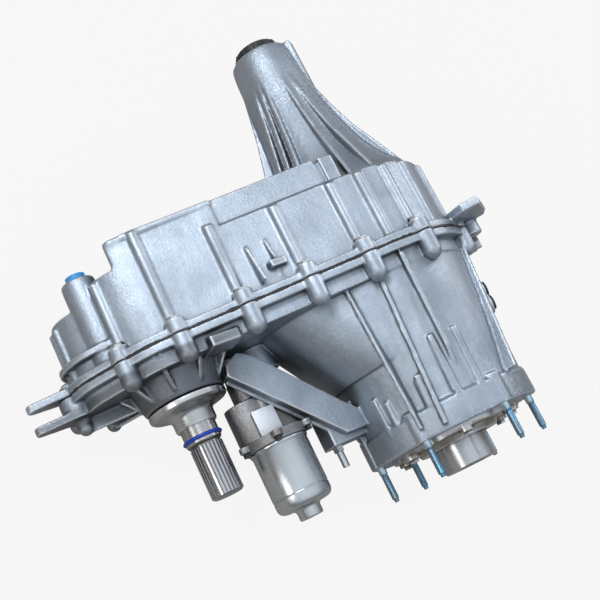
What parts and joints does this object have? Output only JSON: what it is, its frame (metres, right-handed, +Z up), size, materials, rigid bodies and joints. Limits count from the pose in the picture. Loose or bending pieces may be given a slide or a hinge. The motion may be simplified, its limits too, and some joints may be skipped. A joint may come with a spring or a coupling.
{
  "type": "transfer case",
  "caption": "Two-speed chain-drive transfer case with split ribbed cast housings, splined front output, electric shift motor, studded input face and long finned tail.",
  "frame": {"origin": "centre of the gearbox mounting face on the input and main shaft axis", "axes": "+Y along the shafts towards the tail, +Z up as the case lies on its side, front output towards -X"},
  "size_m": [0.544, 0.573, 0.2484],
  "materials": {
    "cast_aluminium": "as-cast, blasted, matte",
    "gearbox_casting": "die-cast, dark grey, satin",
    "dark_steel": "machined and oiled",
    "bright_steel": "ground",
    "zinc_bolt": "zinc plated",
    "teal_zinc": "blue-green zinc plated",
    "yellow_zinc": "yellowish zinc plated",
    "can_steel": "satin drawn steel",
    "retainer_steel": "brownish phosphated steel",
    "black_screw": "black oxide",
    "sealant": "cured black silicone",
    "blue_rubber": "moulded",
    "seal_rubber": "moulded lip seal",
    "blue_plastic": "moulded shipping plug",
    "black_plastic": "moulded, ribbed",
    "bearing_bronze": "bronze backed",
    "chain_steel": "oiled chain steel",
    "friction_lining": "paper friction lining on steel plates"
  },
  "bodies": {
    "case": {"front_case": "cast_aluminium", "rear_case": "cast_aluminium", "seam_gasket": "sealant", "case_bolts": "zinc_bolt", "mounting_studs": "teal_zinc", "input_retainer": "retainer_steel", "retainer_bolts": "dark_steel", "input_bearing": "bright_steel", "input_seal": "seal_rubber", "annulus_gear": "dark_steel", "shift_rail": "bright_steel", "drive_chain": "chain_steel", "main_rear_bearing": "bright_steel", "front_output_bearing": "bright_steel", "front_output_rear_bearing": "bright_steel", "front_output_seal": "seal_rubber", "motor_gearbox": "gearbox_casting", "motor_can": "can_steel", "rear_output_plug": "black_plastic", "rear_output_seal": "seal_rubber", "rear_bushing": "bearing_bronze", "port_plug": "blue_plastic", "fill_plug": "black_screw", "drain_plug": "black_screw", "detent_plug": "zinc_bolt", "dowel_pins": "bright_steel", "speed_sensor": "black_plastic", "oil_pump": "cast_aluminium", "oil_pickup": "black_plastic", "chip_magnet": "dark_steel", "motor_screws": "black_screw", "gearbox_bolts": "black_screw", "motor_connector": "black_plastic", "vent_stud": "zinc_bolt"},
    "main_shaft": {"main_shaft": "dark_steel", "clutch_pack": "friction_lining", "drive_sprocket": "dark_steel", "tone_wheel": "dark_steel", "main_snap_ring": "bright_steel"},
    "input_shaft": {"input_shaft": "dark_steel"},
    "carrier": {"planet_carrier": "dark_steel", "planet_pins": "bright_steel"},
    "planet_1": {"planet_gear_1": "dark_steel"},
    "planet_2": {"planet_gear_2": "dark_steel"},
    "planet_3": {"planet_gear_3": "dark_steel"},
    "range_sleeve": {"range_sleeve": "dark_steel"},
    "range_fork": {"range_fork": "cast_aluminium"},
    "shift_cam": {"shift_cam": "dark_steel"},
    "ramp_lever": {"ramp_lever": "dark_steel"},
    "motor_armature": {"motor_armature": "bright_steel"},
    "front_output": {"front_output_shaft": "bright_steel", "driven_sprocket": "dark_steel", "output_slinger": "yellow_zinc", "output_oring": "blue_rubber", "output_snap_ring": "bright_steel"}
  },
  "joints": [
    {"name": "main_shaft_spin", "type": "hinge", "parent": "case", "child": "main_shaft", "pos_m": [0, 0.2, 0], "axis": [0, 1, 0], "continuous": true},
    {"name": "input_spin", "type": "hinge", "parent": "case", "child": "input_shaft", "pos_m": [0, 0.01, 0], "axis": [0, 1, 0], "continuous": true},
    {"name": "carrier_spin", "type": "hinge", "parent": "case", "child": "carrier", "pos_m": [0, 0.06, 0], "axis": [0, 1, 0], "continuous": true},
    {"name": "planet_1_spin", "type": "hinge", "parent": "carrier", "child": "planet_1", "pos_m": [0.06, 0.064, 0], "axis": [0, 1, 0], "continuous": true},
    {"name": "planet_2_spin", "type": "hinge", "parent": "carrier", "child": "planet_2", "pos_m": [-0.03, 0.064, 0.05196], "axis": [0, 1, 0], "continuous": true},
    {"name": "planet_3_spin", "type": "hinge", "parent": "carrier", "child": "planet_3", "pos_m": [-0.03, 0.064, -0.05196], "axis": [0, 1, 0], "continuous": true},
    {"name": "front_output_spin", "type": "hinge", "parent": "case", "child": "front_output", "pos_m": [-0.26459, 0.17, -0.0335], "axis": [0, 1, 0], "continuous": true},
    {"name": "shift_cam_turn", "type": "hinge", "parent": "case", "child": "shift_cam", "pos_m": [-0.17, 0.195, -0.036], "axis": [0, 1, 0], "range_deg": [-45.3, 45.3]},
    {"name": "range_fork_slide", "type": "slide", "parent": "case", "child": "range_fork", "axis": [0, 1, 0], "range_m": [-0.00715, 0.00715]},
    {"name": "range_sleeve_slide", "type": "slide", "parent": "main_shaft", "child": "range_sleeve", "axis": [0, 1, 0], "range_m": [-0.00715, 0.00715]},
    {"name": "ramp_lever_swing", "type": "hinge", "parent": "case", "child": "ramp_lever", "pos_m": [0, 0.185, 0], "axis": [0, 1, 0], "range_deg": [-5.6, 5.6]},
    {"name": "motor_spin", "type": "hinge", "parent": "case", "child": "motor_armature", "pos_m": [-0.1948, 0.03, -0.02], "axis": [0, 1, 0], "range_deg": [-129, 129]}
  ],
  "couplings": [
    {"joint": "input_spin", "follows": "main_shaft_spin", "ratio": 1},
    {"joint": "carrier_spin", "follows": "main_shaft_spin", "ratio": 0.36458},
    {"joint": "planet_1_spin", "follows": "main_shaft_spin", "ratio": -1.7107},
    {"joint": "planet_2_spin", "follows": "main_shaft_spin", "ratio": -1.7107},
    {"joint": "planet_3_spin", "follows": "main_shaft_spin", "ratio": -1.7107},
    {"joint": "front_output_spin", "follows": "main_shaft_spin", "ratio": 1},
    {"joint": "shift_cam_turn", "follows": "motor_spin", "ratio": -0.34884},
    {"joint": "range_fork_slide", "follows": "motor_spin", "m_per_rad": -0.0031091},
    {"joint": "range_sleeve_slide", "follows": "motor_spin", "m_per_rad": -0.0031091},
    {"joint": "ramp_lever_swing", "follows": "motor_spin", "ratio": 0.04186}
  ]
}
